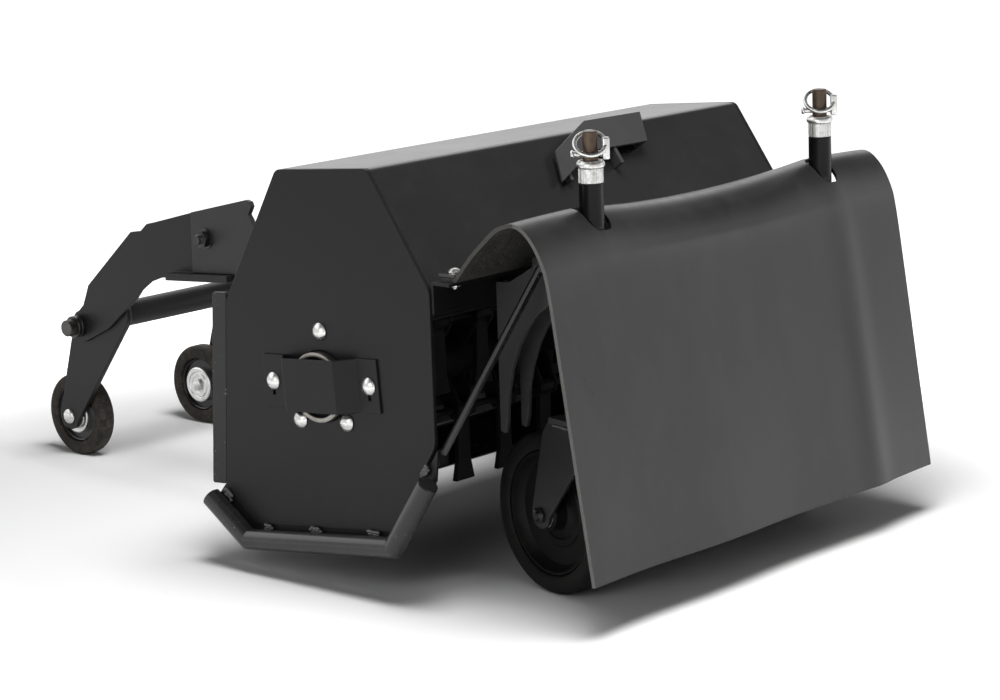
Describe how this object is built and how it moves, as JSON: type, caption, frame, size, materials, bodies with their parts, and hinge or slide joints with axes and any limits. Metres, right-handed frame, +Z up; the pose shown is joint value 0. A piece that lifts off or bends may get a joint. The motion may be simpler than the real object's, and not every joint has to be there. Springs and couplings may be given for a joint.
{
  "type": "hammer knife mower",
  "caption": "Front-mount hammer knife mower: open-front housing, rotor of swinging knives, rubber front flap, swivel casters and a wheeled hitch frame.",
  "frame": {"origin": "middle of the bounding box's foot, on the ground", "axes": "+Z up, X along the rotor with the near end plate at -X, -Y to the front where the flap hangs, +Y to the hitch"},
  "size_m": [0.8202, 1.322, 0.5895],
  "materials": {
    "black_paint": "satin",
    "dark_steel": "satin",
    "knife_steel": "matte",
    "zinc": "satin",
    "stem_steel": "worn",
    "tyre_rubber": "matte",
    "flap_rubber": "satin",
    "black_oxide": "satin",
    "belt_rubber": "matte"
  },
  "bodies": {
    "deck": {"near_end_plate": "black_paint", "far_end_plate": "black_paint", "hood_shell": "black_paint", "near_skid": "black_paint", "far_skid": "black_paint", "near_rear_strip": "black_paint", "far_rear_strip": "black_paint", "front_rail": "black_paint", "flap_flange": "black_paint", "flap_clamp": "black_paint", "flap_top": "flap_rubber", "near_bearing": "dark_steel", "far_bearing": "dark_steel", "bearing_guard": "black_paint", "hood_bracket": "black_paint", "near_caster_arm": "black_paint", "far_caster_arm": "black_paint", "near_brace": "black_paint", "far_brace": "black_paint", "near_height_spacers": "black_paint", "far_height_spacers": "black_paint", "near_hitch_bracket": "black_paint", "far_hitch_bracket": "black_paint", "near_hitch_arm": "black_paint", "far_hitch_arm": "black_paint", "near_hitch_bolt": "black_oxide", "far_hitch_bolt": "black_oxide", "near_pivot_bolt": "black_oxide", "far_pivot_bolt": "black_oxide", "drive_belt": "belt_rubber", "drive_case": "black_paint", "drive_bearing": "dark_steel"},
    "rotor": {"rotor": "dark_steel", "rotor_sheave": "dark_steel"},
    "knife_row_a": {"knives_a": "knife_steel"},
    "knife_row_b": {"knives_b": "knife_steel"},
    "knife_row_c": {"knives_c": "knife_steel"},
    "drive": {"drive_shaft": "dark_steel"},
    "front_flap": {"flap_front": "flap_rubber"},
    "near_swivel": {"near_caster_fork": "black_paint", "near_caster_stem": "stem_steel", "near_stem_collar": "zinc", "near_lock_pin": "zinc", "near_caster_axle": "zinc"},
    "near_caster_wheel": {"near_caster_tyre": "tyre_rubber", "near_caster_rim": "black_paint"},
    "far_swivel": {"far_caster_fork": "black_paint", "far_caster_stem": "stem_steel", "far_stem_collar": "zinc", "far_lock_pin": "zinc", "far_caster_axle": "zinc"},
    "far_caster_wheel": {"far_caster_tyre": "tyre_rubber", "far_caster_rim": "black_paint"},
    "rear_carrier": {"wheel_carrier": "black_paint", "near_rear_axle": "zinc", "far_rear_axle": "zinc"},
    "near_rear_wheel": {"near_rear_tyre": "tyre_rubber", "near_rear_hub": "zinc"},
    "far_rear_wheel": {"far_rear_tyre": "tyre_rubber", "far_rear_hub": "zinc"}
  },
  "joints": [
    {"name": "rotor_spin", "type": "hinge", "parent": "deck", "child": "rotor", "pos_m": [-0.00985, -0.2315, 0.26], "axis": [1, 0, 0], "continuous": true},
    {"name": "knives_a_swing", "type": "hinge", "parent": "rotor", "child": "knife_row_a", "pos_m": [-0.00985, -0.26119, 0.19331], "axis": [1, 0, 0], "range_deg": [-114, 66]},
    {"name": "knives_b_swing", "type": "hinge", "parent": "rotor", "child": "knife_row_b", "pos_m": [-0.00985, -0.27441, 0.31906], "axis": [1, 0, 0], "range_deg": [-240, 2]},
    {"name": "knives_c_swing", "type": "hinge", "parent": "rotor", "child": "knife_row_c", "pos_m": [-0.00985, -0.1589, 0.26763], "axis": [1, 0, 0], "range_deg": [-4, 196]},
    {"name": "drive_spin", "type": "hinge", "parent": "deck", "child": "drive", "pos_m": [-0.00985, 0.0145, 0.332], "axis": [1, 0, 0], "continuous": true},
    {"name": "flap_swing", "type": "hinge", "parent": "deck", "child": "front_flap", "pos_m": [-0.00985, -0.6005, 0.412], "axis": [1, 0, 0], "range_deg": [-50, 0]},
    {"name": "near_caster_swivel", "type": "hinge", "parent": "deck", "child": "near_swivel", "pos_m": [-0.24485, -0.5645, 0.3], "axis": [0, 0, 1], "range_deg": [-88, 112]},
    {"name": "near_caster_roll", "type": "hinge", "parent": "near_swivel", "child": "near_caster_wheel", "pos_m": [-0.22822, -0.48625, 0.103], "axis": [0.9781, -0.2079, 0], "continuous": true},
    {"name": "far_caster_swivel", "type": "hinge", "parent": "deck", "child": "far_swivel", "pos_m": [0.22515, -0.5645, 0.3], "axis": [0, 0, 1], "range_deg": [-88, 112]},
    {"name": "far_caster_roll", "type": "hinge", "parent": "far_swivel", "child": "far_caster_wheel", "pos_m": [0.24178, -0.48625, 0.103], "axis": [0.9781, -0.2079, 0], "continuous": true},
    {"name": "rear_carrier_tilt", "type": "hinge", "parent": "deck", "child": "rear_carrier", "pos_m": [0.03965, 0.5545, 0.209], "axis": [1, 0, 0], "range_deg": [-10, 25]},
    {"name": "near_rear_wheel_roll", "type": "hinge", "parent": "rear_carrier", "child": "near_rear_wheel", "pos_m": [-0.08755, 0.5985, 0.0625], "axis": [1, 0, 0], "continuous": true},
    {"name": "far_rear_wheel_roll", "type": "hinge", "parent": "rear_carrier", "child": "far_rear_wheel", "pos_m": [0.16685, 0.5985, 0.0625], "axis": [1, 0, 0], "continuous": true}
  ],
  "couplings": [
    {"joint": "drive_spin", "follows": "rotor_spin", "ratio": 0.8182}
  ]
}
